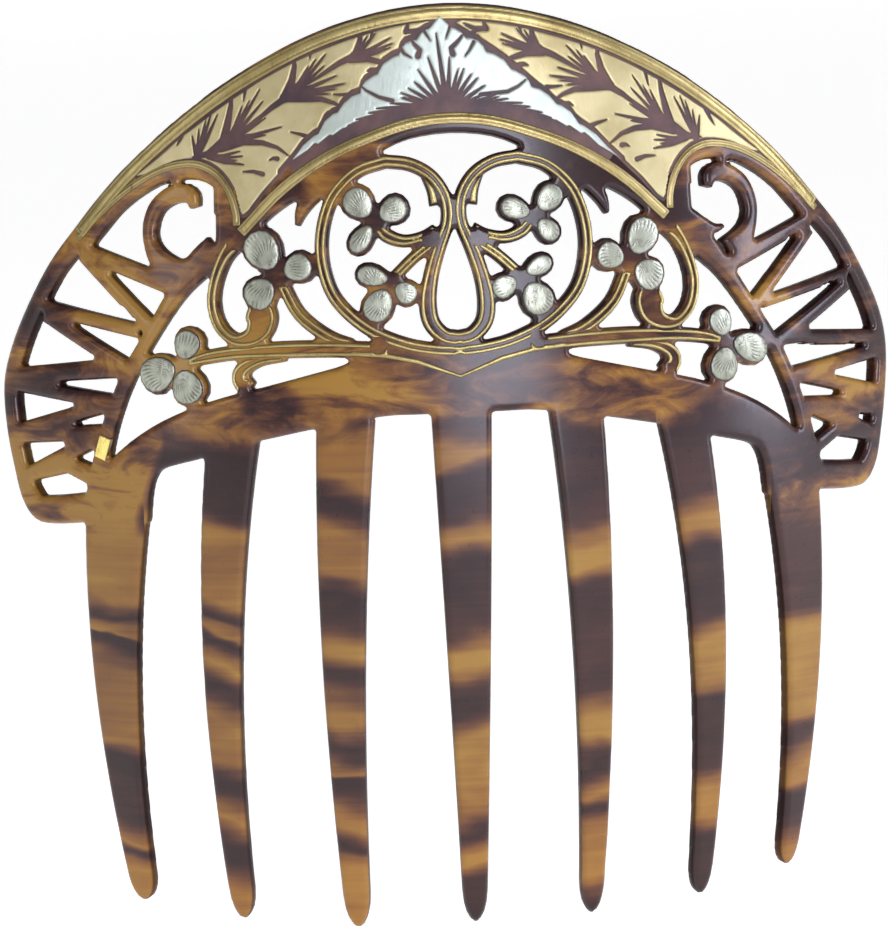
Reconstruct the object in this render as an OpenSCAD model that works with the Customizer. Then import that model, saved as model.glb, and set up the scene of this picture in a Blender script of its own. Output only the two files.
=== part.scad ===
// Decorative back comb: a bent sheet sawn into an openwork crown above seven teeth,
// with thin gold and silver foil and gilt lines on its front face.
//
// Every outline is drawn flat, the way the sheet is sawn before it is bent. A point is
// [across, up] in millimetres, from the middle of the line where the teeth begin, and
// bend() lays it on the curved sheet. The comb is symmetrical, so the outlines give its
// right half and on_side() mirrors it for the left. +Z is up when the comb is worn, the
// decorated front faces -Y, and the origin is on the front face at the tooth roots.

/* [Sheet] */
// Thickness of the sheet
sheet_t = 2.3; // [1.8:0.1:3.2]
// Radius of the bend round the head, at the front face
bend_r = 93; // [80:1:140]
// Radius of the curl from top to bottom, at the front face
curl_r = 325; // [250:5:600]
// Chamfer along the front edges
edge = 0.45; // [0.2:0.05:0.6]

/* [Teeth] */
// Height of the middle tooth's tip below the roots
tooth_len = 76; // [66:1:90]
// Width of a tooth at its root
tooth_root_w = 8.5; // [7:0.1:8.6]
// Width of a tooth just before its tip is rounded
tooth_tip_w = 3.8; // [3:0.1:5]

/* [Openwork] */
// Width of the sawn scroll stems
stem_w = 2; // [1.6:0.1:2.4]
// Added to the width of every lattice strut
strut_extra = 0; // [-0.4:0.1:0.4]
// Width of the side rims
rim_w = 2.8; // [2:0.1:3.6]

/* [Foil and gilding] */
// Thickness of the gold and silver foil above the front face
foil_t = 0.3; // [0.2:0.05:0.5]
// Width of the gilt line along a stem
gilt_w = 1.1; // [0.6:0.1:1.5]
// Width of the gilt band along the crown's outer edge
outer_band_w = 2; // [1.4:0.1:2.4]
// Width of the gilt band over the central arch
arch_band_w = 1.6; // [1:0.1:2]
// Width of the gilt bands over the two small arches
small_band_w = 1.1; // [0.8:0.1:1.4]

/* [Hidden] */
// Foil reaches this far into the sheet, so that it stays bonded along the bend
bond = 0.12;
// Straight pieces between two neighbouring control points of a curve
fine = 4;
coarse = 3;
// How much wider a leaf's pad is than its silver face, on each side
pad_margin = 0.4;
// How far the crown's outer parts stand off to the right
lean = 0.45;
leaf_sides = 14;
silver = "#b9c2ae";
gold = "#c9b25a";
pale_gold = "#d9cf9a";
amber = "#9a6a30";
tortoise = "#6e4020";
dark_tortoise = "#4a2a1e";

// ---- The bend ----

// Place of a point of the flat sheet, [across, out of the front face, up]
function bend(p) =
    let (turn = p[0] / bend_r * 180 / PI)
    let (rise = p[2] / curl_r * 180 / PI)
    let (reach = bend_r - curl_r * (1 - cos(rise)) + p[1] * cos(rise))
    [reach * sin(turn), bend_r - reach * cos(turn), (curl_r + p[1]) * sin(rise)];

// ---- Curves on the flat sheet ----

// One point of a Catmull-Rom curve, between b and c
function between(a, b, c, d, t) =
    b + 0.5 * t * (c - a + t * (2 * a - 5 * b + 4 * c - d + t * (3 * (b - c) + d - a)));

// A smooth curve through the points, with steps pieces between two of them
function smooth(points, steps = fine) =
    let (last = len(points) - 1)
    [for (i = [0 : last - 1])
        let (before = i == 0 ? 2 * points[0] - points[1] : points[i - 1])
        let (after = i + 2 > last ? 2 * points[last] - points[last - 1] : points[i + 2])
        for (k = [0 : steps - 1])
            between(before, points[i], points[i + 1], after, k / steps),
     points[last]];

function unit(v) = v / norm(v);

// Direction in which a curve runs at its point i
function way(curve, i) =
    let (a = curve[max(i - 1, 0)], b = curve[min(i + 1, len(curve) - 1)])
    unit([b[0] - a[0], b[1] - a[1]]);

// One edge of a stem whose centre line's points are [across, up, width]
function stem_edge(line, side) =
    [for (i = [0 : len(line) - 1])
        let (w = way(line, i))
        [line[i][0] - side * w[1] * line[i][2] / 2, line[i][1] + side * w[0] * line[i][2] / 2]];

function with_width(points, w) = [for (p = points) [p[0], p[1], w]];
// A curve moved sideways, to the left of its own direction
function shifted(curve, distance) = stem_edge(with_width(curve, 2 * distance), 1);
// The outer parts of the crown stand a little further right, as the sheet was sawn by
// hand. Takes points of one side, [across, up, ...], measured outwards from the middle.
function leaning(points, side) =
    [for (p = points)
        let (share = min(1, max(0, p[0] - 15) / 20) * min(1, max(0, p[1] - 1) / 9))
        [for (k = [0 : len(p) - 1]) p[k] + (k == 0 ? side * lean * share : 0)]];
// A whole edge, from its right half
function both_halves(points) =
    let (left = leaning(points, -1))
    concat([for (i = [len(points) - 1 : -1 : 1]) [-left[i][0], left[i][1]]], leaning(points, 1));

// ---- Solids on the bent sheet ----

// Triangles of a tube with its two ends closed
function tube_faces(last, corners) =
    concat(
        [for (i = [0 : last - 1])
            for (k = [0 : corners - 1])
                let (a = i * corners + k, b = i * corners + (k + 1) % corners)
                each [[a, b + corners, b], [a, a + corners, b + corners]]],
        [for (k = [1 : corners - 2]) [0, k, k + 1]],
        [for (k = [1 : corners - 2]) [0, k + 1, k] + last * corners * [1, 1, 1]]
    );

// A piece of the sheet between two edges of equal length, with chamfered front edges.
// The edges run the same way, with left_edge on the left as seen from the front.
module strip(left_edge, right_edge) {
    points = [
        for (i = [0 : len(left_edge) - 1])
            let (a = left_edge[i], b = right_edge[i])
            let (cut = min(edge, norm(b - a) * 0.3), inward = cut * unit(b - a))
            each [
                bend([a[0], -sheet_t, a[1]]),
                bend([a[0], -cut, a[1]]),
                bend([a[0] + inward[0], 0, a[1] + inward[1]]),
                bend([b[0] - inward[0], 0, b[1] - inward[1]]),
                bend([b[0], -cut, b[1]]),
                bend([b[0], -sheet_t, b[1]])
            ]
    ];
    polyhedron(points, tube_faces(len(left_edge) - 1, 6));
}

// A stem along a centre line of [across, up, width]
module stem(points, steps = fine) {
    line = smooth(points, steps);
    strip(stem_edge(line, 1), stem_edge(line, -1));
}

// A thin skin on the front face between two edges of equal length
module skin(left_edge, right_edge) {
    points = [
        for (i = [0 : len(left_edge) - 1])
            let (a = left_edge[i], b = right_edge[i])
            each [
                bend([a[0], -bond, a[1]]),
                bend([a[0], foil_t, a[1]]),
                bend([b[0], foil_t, b[1]]),
                bend([b[0], -bond, b[1]])
            ]
    ];
    polyhedron(points, tube_faces(len(left_edge) - 1, 4));
}

// A gilt line of constant width on the front face
module line_on(points, w, steps = coarse) {
    line = smooth(with_width(points, w), steps);
    skin(stem_edge(line, 1), stem_edge(line, -1));
}

// Outline of a leaf, [across, up, length, width], narrower towards the stem's end
function leaf_outline(leaf, joint, grow) =
    let (centre = [leaf[0], leaf[1]], out = unit(centre - joint))
    [for (k = [0 : leaf_sides - 1])
        let (t = k * 360 / leaf_sides)
        let (along = -cos(t) * (leaf[2] / 2 + grow))
        let (aside = sin(t) * (leaf[3] / 2 + grow) * (1 - 0.16 * cos(t)))
        centre + along * out + aside * [out[1], -out[0]]];

// A leaf-shaped plate between two depths of the sheet
module leaf_plate(leaf, joint, grow, front, back) {
    outline = leaf_outline(leaf, joint, grow);
    points = concat(
        [for (p = outline) bend([p[0], back, p[1]])],
        [for (p = outline) bend([p[0], front, p[1]])],
        [bend([leaf[0], back, leaf[1]]), bend([leaf[0], front, leaf[1]])]
    );
    n = leaf_sides;
    polyhedron(points, [
        for (k = [0 : n - 1])
            let (next = (k + 1) % n)
            each [
                [k, next + n, next], [k, k + n, next + n],
                [2 * n, k, next], [2 * n + 1, next + n, k + n]
            ]
    ]);
}

module on_side(side) {
    if (side < 0) mirror([1, 0, 0]) children();
    else children();
}

// ---- Outlines of the right half ----

// The sheet's outer edge, from the top of the crown to the side rim's lower corner
crown_edge = [
    [0, 58], [8, 57.4], [15.5, 55.8], [23.5, 53], [33.5, 48], [42.5, 42], [51, 35.2], [58.6, 27.6]
];
side_edge = [
    [58.6, 27.6], [63.5, 22.4], [68, 16], [71.4, 10], [73, 4.5], [72.7, -2], [71.6, -8],
    [70.4, -12.6], [68.1, -15.5], [64.5, -16.1], [56, -15.4]
];
// Upper edge of the openings under the crown, matched point for point with crown_match:
// the central arch, the cusp where the arches meet, and the small arch over the lattice
crown_match = [
    [0, 58], [8, 57.4], [15, 55.9], [19, 54.7], [23.5, 53], [26.5, 51.6], [29, 50.4],
    [31.5, 49.1], [34, 47.7], [36.2, 46.4], [38.2, 45], [40, 43.8], [41.7, 42.6],
    [43.5, 41.3], [46, 39.3], [49, 36.9], [52, 34.3], [55.5, 30.9], [58.6, 27.6]
];
openings_edge = [
    [0, 39.6], [6.2, 38.9], [11, 36.9], [14.6, 34.7], [19.1, 31.7], [22.9, 30.8],
    [26.6, 28.6], [29.4, 26.1], [32.4, 23.4], [35.6, 24], [34.4, 26.6], [34, 29.4],
    [35, 32.3], [38.2, 34], [43.1, 33.7], [47, 32.1], [50.8, 29.6], [53.8, 26.7], [56.2, 24.3]
];
// Upper and lower edge of the heading bar, from the middle to the outer tooth's root
heading_top = [
    [0, 8], [3.7, 8.4], [7.5, 9.4], [11, 10.3], [14.2, 9], [16.5, 7.4], [21.5, 6.1], [29, 4.3],
    [35, 2.9], [40.5, 1.1], [46, -1.3], [51.5, -4.8], [55.6, -9], [58.4, -15.2]
];
heading_bottom = [
    [0, 0], [4.2, 0], [7, 0], [9.6, 0], [12.8, -0.3], [16.5, -0.9], [20.8, -1.6], [28.4, -3.1],
    [32.5, -4], [37.4, -5.6], [44, -7.2], [45.8, -8.5], [46.8, -11], [47.5, -15.2]
];

// Centre lines of [across, up, width]
arch_rib = [
    [34.8, 24.2, 4.6], [37.8, 21.8, 4.2], [41.3, 17.9, 2.8], [45.5, 12.1, 2.2], [49.2, 6.7, 2.3],
    [52, 1.3, 2.3], [54.1, -3.9, 2.6], [55.8, -9.8, 3.2]
];
corner_scroll = [
    [38.6, 30.1, 1.6], [39.3, 31.9, 2.6], [42, 32, 2.7], [44.6, 30.4, 2.5],
    [45.8, 27.8, 2.4], [45.7, 25.2, 2.4], [44.3, 22.7, 3.4], [41.6, 20.6, 4.4]
];
crescent = [
    [13.5, 36.3, 1.6], [17.3, 34.2, 2.4], [20.4, 31.5, 2.6], [22, 29.3, 1.9], [22.7, 27.2, 0.7]
];
thorn = [[34.6, 26.4, 2.8], [36.9, 25, 2.4], [39.2, 24.1, 1.6], [41, 24.4, 0.6]];
ring_stem = [
    [0.4, 8.9, stem_w], [3.7, 9.2, stem_w], [7.5, 10, stem_w], [11.8, 11.8, stem_w],
    [15.1, 14.2, stem_w], [17.7, 17.3, stem_w], [19, 21.2, stem_w], [19.2, 25, stem_w],
    [18.4, 28.8, stem_w], [16.8, 31.9, stem_w], [13.6, 34.7, stem_w], [9.6, 35.9, stem_w]
];
pear_stem = [
    [9.6, 35.9, stem_w], [6.2, 35.4, stem_w], [3.4, 33.9, stem_w], [1.6, 31.6, stem_w],
    [0.9, 29.2, stem_w], [1.1, 26.6, stem_w], [2.4, 23.4, stem_w + 0.2], [3.6, 19.6, stem_w + 0.3],
    [4.2, 16, stem_w + 0.6], [3.8, 13, stem_w + 0.6], [2.1, 11.1, stem_w + 0.4],
    [0.2, 10.6, stem_w + 0.4]
];
barb = [[4.2, 33.8, 0.9], [3.1, 31.6, 1.4], [2.7, 29.4, 1.6]];
outer_scroll = [
    [31.8, 25.2, 2.8], [33.7, 22.8, 2.2], [35.1, 19.4, stem_w], [35.5, 16.2, stem_w],
    [34.6, 13.2, stem_w], [32.5, 11.3, stem_w], [30.2, 11.4, 2.8], [28.7, 12.7, 4.2],
    [28.3, 14.4, 4.8], [28.2, 16, 3.8], [28.2, 17, 1.6]
];
bottom_stem = [
    [9.8, 9.4, 2], [14.4, 9.5, 2.4], [19, 9.7, 2.5], [25.5, 9.7, 2.5], [32, 9.4, 2.2],
    [36.6, 8.8, 2.1], [39.6, 8, 1.6]
];
spur = [
    [25, 8.9, 1.8], [28.8, 8.3, 2], [31.2, 7.1, 2.4], [31.7, 5.6, 2.8], [30.6, 4.1, 2.8]
];
outer_branch = [[25.1, 19.2, 1.9], [22.7, 14.7, 2], [18.7, 11.5, 2], [15.2, 10.1, 1.9]];
upper_branch = [
    [11.1, 27.1, 1.8], [9.8, 25.5, 2.1], [7.3, 24.6, 1.9], [4.6, 25.1, 1.7], [2.6, 26.2, 1.6]
];
lower_branch = [[9, 19.4, 1.8], [6, 22.2, 1.8], [3.2, 24.2, 1.8]];

// Straight struts of the two lattices, each from the side rim to the arch rib or to the
// next strut. The two halves were sawn by hand and differ.
right_struts = [
    [[57.4, 24.4, 2.2], [41.8, 18.9, 2.8]], [[57.4, 23, 2], [46.4, 13.2, 2.1]],
    [[64.6, 16, 1.7], [47.4, 12.8, 1.7]], [[64.8, 14.4, 2.2], [50.4, 7.3, 2.3]],
    [[70.9, 5.9, 2.3], [50.8, 7.5, 2.4]], [[70.9, 3.9, 2.3], [52.2, 1.9, 2.2]],
    [[71.1, -2.3, 2.3], [53.2, 1.9, 2.2]], [[70.5, -4.2, 3.2], [54.6, -2.6, 2.3]],
    [[68.9, -8.2, 2.6], [55, -2.7, 2.4]], [[68.5, -8.4, 2.2], [61, -6.9, 2.2]],
    [[61.4, -6.9, 2.2], [56.8, -9.1, 2.4]]
];
left_struts = [
    [[57.4, 24.3, 2.3], [41.8, 18.9, 2.8]], [[56.9, 23.5, 2.3], [46, 13.6, 2.3]],
    [[64.2, 15.8, 2.1], [47.4, 12.5, 2.2]], [[64.2, 14.7, 2.2], [50.2, 7.5, 2.3]],
    [[70.7, 5.6, 2.4], [50.8, 7.2, 3]], [[70.9, 4.4, 2.2], [52.2, 2.2, 2.3]],
    [[71.1, -2.7, 2.2], [53.2, 1.8, 2.3]], [[70.5, -3.3, 2.3], [54.6, -2.2, 2.3]],
    [[68.9, -8.9, 2.2], [55, -3, 2.4]], [[68.3, -8.8, 2.3], [61, -7.3, 2.3]],
    [[61.4, -7, 2.6], [56.8, -8.6, 3]]
];

// Silver-faced trefoils: where the leaves meet, then each leaf's centre, length and width
// for the right-hand one, then for the left-hand one
far_trefoil = [
    [40.6, 8],
    [[39.5, 10.6, 4.3, 3.9], [44.4, 6.7, 6.4, 4.5], [39.8, 4.6, 5.2, 4.8]],
    [[39.5, 10.6, 4.5, 4.1], [44.2, 6.5, 6, 5.2], [39.7, 4.6, 5.2, 4.9]]
];
outer_trefoil = [
    [25.2, 20.1],
    [[27.5, 23.7, 5.8, 4.8], [22.5, 21.2, 4.4, 4.1], [28.2, 18.3, 4.9, 4.7]],
    [[27.7, 23.8, 6.2, 5.2], [22.6, 21.3, 4.4, 4.1], [28.2, 17.8, 4.9, 4.7]]
];
upper_trefoil = [
    [11.4, 27.5],
    [[13.8, 29.8, 4.6, 3.7], [8.8, 28.5, 4.6, 3.2], [13.4, 25.4, 4, 3.1]],
    [[13.6, 30.1, 4.9, 4.3], [8.7, 29, 4.4, 3.8], [13.3, 25.1, 4.7, 3]]
];
lower_trefoil = [
    [9.2, 19.1],
    [[11.8, 20.3, 4.3, 2.8], [6.8, 17.7, 4, 3.4], [11.4, 15.8, 5.2, 4.6]],
    [[11.9, 19.8, 4.7, 3], [7.3, 17.4, 3.6, 3.3], [11.2, 15.7, 5.2, 4.2]]
];
trefoils = [far_trefoil, outer_trefoil, upper_trefoil, lower_trefoil];
function leaves(trefoil, side) = trefoil[side > 0 ? 1 : 2];

// Centre lines of the gilt bands
arch_band = [
    [0, 41.6], [6, 41], [12, 39.2], [17, 37.2], [21.5, 34.7], [26, 31.4], [31.2, 26.4]
];
small_band = [
    [31.8, 27.4], [32, 29.6], [33, 32.4], [34.9, 34.8], [37.6, 36.1], [40.5, 36.2], [44, 35.4],
    [48, 33.5], [51.8, 31], [55.5, 28], [57.8, 25.8]
];

// Upper and lower edge of the gold foliage, from beside the palmette to the crown's end
foliage_top = [
    [2.4, 55.3], [8, 54.6], [14.5, 53], [19.5, 51.4], [23.5, 49.8], [27.5, 47.9], [30, 46.5],
    [32.4, 45.1], [34.4, 43.9], [36.5, 42.5], [38.8, 41], [41, 39.5], [44, 37.2], [47.5, 34.8]
];
foliage_bottom = [
    [1.6, 55], [5.4, 52.6], [9, 50], [12.5, 46.9], [17, 42.9], [21, 39.2], [24.6, 35.4],
    [28, 32], [30.8, 29], [31.6, 32], [33.8, 35.2], [37, 37], [41.5, 36.8], [46.5, 34.9]
];
palmette_top = [
    [0, 55.9], [2.4, 54.4], [4.8, 52.4], [8.4, 50], [12, 46.6], [15.4, 43.8], [19, 40.2], [23.4, 36]
];
palmette_bottom = [
    [0, 42.7], [2.4, 42.6], [4.8, 42.3], [8.4, 41.5], [12, 40.3], [15.4, 39], [19, 37.3], [22.8, 35.2]
];

// ---- The sheet ----

module heading_bar() {
    color(tortoise) strip(
        smooth(both_halves(heading_top), coarse),
        smooth(both_halves(heading_bottom), coarse)
    );
}

// A tooth on one side: its tip's place, how far its root stands nearer the middle, the
// height of its root and tip, and how much wider it is than the usual tooth there
module tooth(side, tip, sweep, root_z, tip_z, wider_root = 0, wider_tip = 0) {
    rings = 22;
    round_from = 0.93;
    root_w = tooth_root_w + wider_root;
    tip_w = tooth_tip_w + wider_tip;
    line = [
        for (k = [0 : rings])
            let (t = 1 - pow(1 - k / rings, 1.6))
            let (over = max(0, t - round_from) / (1 - round_from))
            let (w = root_w + (tip_w - root_w) * t)
            [
                tip - sweep * pow(1 - t, 2.5),
                root_z + (tip_z - root_z) * t,
                max(0.6, w * pow(max(0, 1 - pow(over, 2.4)), 0.5))
            ]
    ];
    on_side(side) color(amber) strip(stem_edge(line, 1), stem_edge(line, -1));
}

module tooth_1() tooth(-1, 56.7, 3.8, -13.8, 2 - tooth_len, 2.1, 0.6);
module tooth_2() tooth(-1, 38.4, 5.1, -2.4, 0.2 - tooth_len, -0.6, 0.1);
module tooth_3() tooth(-1, 19.1, 2.5, -0.4, -0.8 - tooth_len, 0, 0.3);
module tooth_4() tooth(1, 0, 0, 0, -0.4 - tooth_len, 0.2);
module tooth_5() tooth(1, 19.3, 2.6, -0.4, -0.4 - tooth_len, -0.5, -0.1);
module tooth_6() tooth(1, 38.8, 5.7, -2.4, 0.4 - tooth_len, -0.8, -0.2);
module tooth_7() tooth(1, 56.5, 4, -13.8, 2.5 - tooth_len, 1.2, -0.2);

module crown_plate() {
    color(tortoise) strip(
        smooth(both_halves(crown_match), coarse),
        smooth(both_halves(openings_edge), coarse)
    );
}

module side_rim(side) {
    outer = smooth(leaning(side_edge, side), fine);
    last = len(outer) - 1;
    inner = [
        for (i = [0 : last])
            let (w = way(outer, i))
            let (low = max(0, i / last - 0.62) / 0.38)
            let (width = rim_w + 1.6 * sqrt(low) + (i < fine ? 0.4 * (fine - i) / fine : 0))
            outer[i] + width * [w[1], -w[0]]
    ];
    on_side(side) color(tortoise) strip(outer, inner);
}
module left_side_rim() side_rim(-1);
module right_side_rim() side_rim(1);

module left_arch_rib() on_side(-1) color(tortoise) stem(arch_rib);
module right_arch_rib() on_side(1) color(tortoise) stem(arch_rib);

// The struts meet in pairs, so their pieces are hulls that fuse into one solid
module lattice(side) {
    pieces = 3;
    on_side(side) color(tortoise) union() {
        for (s = side > 0 ? right_struts : left_struts) {
            line = [for (k = [0 : pieces]) s[0] + (s[1] - s[0]) * k / pieces + [0, 0, strut_extra]];
            left_edge = stem_edge(line, 1);
            right_edge = stem_edge(line, -1);
            for (k = [0 : pieces - 1])
                hull() strip([left_edge[k], left_edge[k + 1]], [right_edge[k], right_edge[k + 1]]);
        }
    }
}
module left_lattice() lattice(-1);
module right_lattice() lattice(1);

module left_corner_scroll() on_side(-1) color(dark_tortoise) stem(leaning(corner_scroll, -1));
module right_corner_scroll() on_side(1) color(dark_tortoise) stem(leaning(corner_scroll, 1));
module right_thorn() color(dark_tortoise) stem(leaning(thorn, 1));
module left_crescent() on_side(-1) color(dark_tortoise) stem(crescent);
module right_crescent() on_side(1) color(dark_tortoise) stem(crescent);
module left_ring_stem() on_side(-1) color(dark_tortoise) stem(ring_stem);
module right_ring_stem() on_side(1) color(dark_tortoise) stem(ring_stem);
module left_pear_stem() on_side(-1) color(dark_tortoise) stem(pear_stem);
module right_pear_stem() on_side(1) color(dark_tortoise) stem(pear_stem);
module left_barb() on_side(-1) color(dark_tortoise) stem(barb);
module right_barb() on_side(1) color(dark_tortoise) stem(barb);
module left_outer_scroll() on_side(-1) color(dark_tortoise) stem(outer_scroll);
module right_outer_scroll() on_side(1) color(dark_tortoise) stem(outer_scroll);
module left_bottom_stem() on_side(-1) color(dark_tortoise) stem(bottom_stem, coarse);
module right_bottom_stem() on_side(1) color(dark_tortoise) stem(bottom_stem, coarse);
module left_spur() on_side(-1) color(dark_tortoise) stem(spur);
module right_spur() on_side(1) color(dark_tortoise) stem(spur);

module branches(side) {
    on_side(side) color(dark_tortoise) {
        stem(outer_branch);
        stem(upper_branch);
        stem(lower_branch, coarse);
    }
}
module left_branches() branches(-1);
module right_branches() branches(1);

// The pads of a trefoil fuse where they meet, so each one is a hull
module leaf_pads(side) {
    on_side(side) color(dark_tortoise) union() {
        for (t = trefoils) {
            for (leaf = leaves(t, side))
                hull() leaf_plate(leaf, t[0], pad_margin, 0, -sheet_t);
        }
    }
}
module left_leaf_pads() leaf_pads(-1);
module right_leaf_pads() leaf_pads(1);

// ---- Foil and gilding ----

module outer_gilt_band() {
    margin = 0.5;
    line = smooth(both_halves(crown_edge), coarse);
    color(gold) skin(shifted(line, -margin), shifted(line, -margin - outer_band_w));
}

module arch_gilt_band() color(gold) line_on(both_halves(arch_band), arch_band_w);
module small_arch_band(side) on_side(side) color(gold) line_on(leaning(small_band, side), small_band_w);
module left_arch_gilt_band() small_arch_band(-1);
module right_arch_gilt_band() small_arch_band(1);

module gold_foliage(side) {
    on_side(side) color(pale_gold) skin(
        smooth(leaning(foliage_top, side), coarse),
        smooth(leaning(foliage_bottom, side), coarse)
    );
}
module left_gold_foliage() gold_foliage(-1);
module right_gold_foliage() gold_foliage(1);

module silver_palmette() {
    color(silver) skin(
        smooth(both_halves(palmette_top), coarse),
        smooth(both_halves(palmette_bottom), coarse)
    );
}

module silver_leaves(side, trefoil) {
    on_side(side) color(silver) for (leaf = leaves(trefoil, side))
        leaf_plate(leaf, trefoil[0], -0.1, foil_t, -bond);
}
module left_far_trefoil() silver_leaves(-1, far_trefoil);
module right_far_trefoil() silver_leaves(1, far_trefoil);
module left_outer_trefoil() silver_leaves(-1, outer_trefoil);
module right_outer_trefoil() silver_leaves(1, outer_trefoil);
module left_upper_trefoil() silver_leaves(-1, upper_trefoil);
module right_upper_trefoil() silver_leaves(1, upper_trefoil);
module left_lower_trefoil() silver_leaves(-1, lower_trefoil);
module right_lower_trefoil() silver_leaves(1, lower_trefoil);

// The points of a stem from first to last, without the ones where stems meet
function part_of(points, first, last) = [for (i = [first : last]) [points[i][0], points[i][1]]];

module gilt_lines(side) {
    on_side(side) color(gold) {
        line_on(part_of(ring_stem, 1, 11), gilt_w);
        line_on(part_of(pear_stem, 1, 10), gilt_w);
        line_on(part_of(outer_scroll, 1, 6), gilt_w);
        line_on(part_of(bottom_stem, 1, 5), gilt_w);
        line_on(part_of(spur, 1, 4), gilt_w);
        line_on(part_of(outer_branch, 0, 2), gilt_w);
        line_on(part_of(upper_branch, 1, 3), gilt_w);
        line_on(part_of(lower_branch, 0, 1), gilt_w);
    }
}
module left_gilt_lines() gilt_lines(-1);
module right_gilt_lines() gilt_lines(1);

// A dab of gilding left on the foot of the left arch rib
module gilt_patch() on_side(-1) color(gold) line_on([[53.4, -2.8], [54.6, -6]], 2);

heading_bar();
tooth_1();
tooth_2();
tooth_3();
tooth_4();
tooth_5();
tooth_6();
tooth_7();
crown_plate();
left_side_rim();
right_side_rim();
left_arch_rib();
right_arch_rib();
left_lattice();
right_lattice();
left_corner_scroll();
right_corner_scroll();
right_thorn();
left_crescent();
right_crescent();
left_ring_stem();
right_ring_stem();
left_pear_stem();
right_pear_stem();
left_barb();
right_barb();
left_outer_scroll();
right_outer_scroll();
left_bottom_stem();
right_bottom_stem();
left_spur();
right_spur();
left_branches();
right_branches();
left_leaf_pads();
right_leaf_pads();
outer_gilt_band();
arch_gilt_band();
left_arch_gilt_band();
right_arch_gilt_band();
left_gold_foliage();
right_gold_foliage();
silver_palmette();
left_far_trefoil();
right_far_trefoil();
left_outer_trefoil();
right_outer_trefoil();
left_upper_trefoil();
right_upper_trefoil();
left_lower_trefoil();
right_lower_trefoil();
left_gilt_lines();
right_gilt_lines();
gilt_patch();
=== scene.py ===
"""Looks of the decorative back comb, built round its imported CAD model."""

import math

import bpy
import numpy as np
from mathutils import Matrix, Vector


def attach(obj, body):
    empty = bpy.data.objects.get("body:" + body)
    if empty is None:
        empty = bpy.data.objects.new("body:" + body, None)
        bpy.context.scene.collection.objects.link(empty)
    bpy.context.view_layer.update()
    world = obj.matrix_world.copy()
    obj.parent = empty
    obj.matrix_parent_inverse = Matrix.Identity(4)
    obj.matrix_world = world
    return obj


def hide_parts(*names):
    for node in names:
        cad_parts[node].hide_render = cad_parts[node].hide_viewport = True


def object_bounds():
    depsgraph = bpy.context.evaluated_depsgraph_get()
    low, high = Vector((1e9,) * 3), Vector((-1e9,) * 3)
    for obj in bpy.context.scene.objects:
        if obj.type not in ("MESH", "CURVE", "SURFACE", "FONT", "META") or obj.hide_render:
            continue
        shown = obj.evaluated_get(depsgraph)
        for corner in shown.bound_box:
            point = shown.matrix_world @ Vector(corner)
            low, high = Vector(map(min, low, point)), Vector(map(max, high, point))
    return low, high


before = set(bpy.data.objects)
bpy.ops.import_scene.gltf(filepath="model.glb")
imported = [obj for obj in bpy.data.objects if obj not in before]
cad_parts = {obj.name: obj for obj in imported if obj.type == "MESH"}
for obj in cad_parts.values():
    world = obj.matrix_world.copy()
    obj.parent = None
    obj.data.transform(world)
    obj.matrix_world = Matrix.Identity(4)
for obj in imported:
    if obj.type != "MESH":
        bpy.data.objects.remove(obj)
cad_low, cad_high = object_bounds()

MM = 0.001

# ---- The bent sheet, in millimetres ----
# A place on the sheet is (across, out of the front face, up), as in the CAD model.
BEND_R = 93.0  # radius of the bend round the head
CURL_R = 325.0  # radius of the bend from the teeth to the crown
SHEET_T = 2.3
FOIL_T = 0.3
FOIL_BOTTOM = -0.12  # foil is sunk this far into the sheet
TOOTH_LENGTH = 80.0  # the depth that the tooth bands are laid out over
# The middle line of each tooth at its root, and where its share of the sheet starts
TOOTH_MIDDLES = [-53.2, -37.3, -19, 0, 19.2, 37.7, 53.1]
TOOTH_STARTS = [-90, -45.5, -28, -9.5, 9.5, 28, 45.5, 90]


def bend(across, out, up):
    """Places on the flat sheet as points on the bent one, in metres."""
    turn, rise = across / BEND_R, up / CURL_R
    reach = BEND_R - CURL_R * (1 - np.cos(rise)) + out * np.cos(rise)
    x, y, z = reach * np.sin(turn), BEND_R - reach * np.cos(turn), (CURL_R + out) * np.sin(rise)
    return MM * np.stack([x, y, z], -1)


def unbend(points):
    """The reverse of bend: across, out and up of points in metres."""
    x, y, z = points.T / MM
    turn = np.arctan2(x, BEND_R - y)
    reach = np.hypot(x, BEND_R - y) - BEND_R + CURL_R
    return BEND_R * turn, np.hypot(reach, z) - CURL_R, CURL_R * np.arctan2(z, reach)


def footprint(names, depth):
    """Flat triangles [count, 3, 2] of the nodes' faces that lie at that depth of the sheet."""
    found = []
    for name in names:
        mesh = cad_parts[name].data
        mesh.calc_loop_triangles()
        places = np.empty(len(mesh.vertices) * 3)
        mesh.vertices.foreach_get("co", places)
        corners = np.empty(len(mesh.loop_triangles) * 3, int)
        mesh.loop_triangles.foreach_get("vertices", corners)
        across, out, up = unbend(places.reshape(-1, 3))
        corners = corners.reshape(-1, 3)
        corners = corners[np.abs(out[corners] - depth).max(1) < 0.15]
        found.append(np.stack([across[corners], up[corners]], -1))
    flat = np.concatenate(found)
    sides = flat[:, 1:] - flat[:, :1]
    area = sides[:, 0, 0] * sides[:, 1, 1] - sides[:, 0, 1] * sides[:, 1, 0]
    flat[area < 0] = flat[area < 0][:, ::-1]
    return flat[np.abs(area) > 1e-6]


# ---- Signed distances on a grid over the flat sheet ----


class Grid:
    """Rows go up and columns go across, with their places in millimetres."""

    def __init__(self, across, up):
        self.across, self.up = across, up
        self.s, self.z = np.meshgrid(across, up)

    def window(self, low, high, margin=0.0):
        rows = np.searchsorted(self.up, [low[1] - margin, high[1] + margin])
        columns = np.searchsorted(self.across, [low[0] - margin, high[0] + margin])
        return slice(*rows), slice(*columns)


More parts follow.
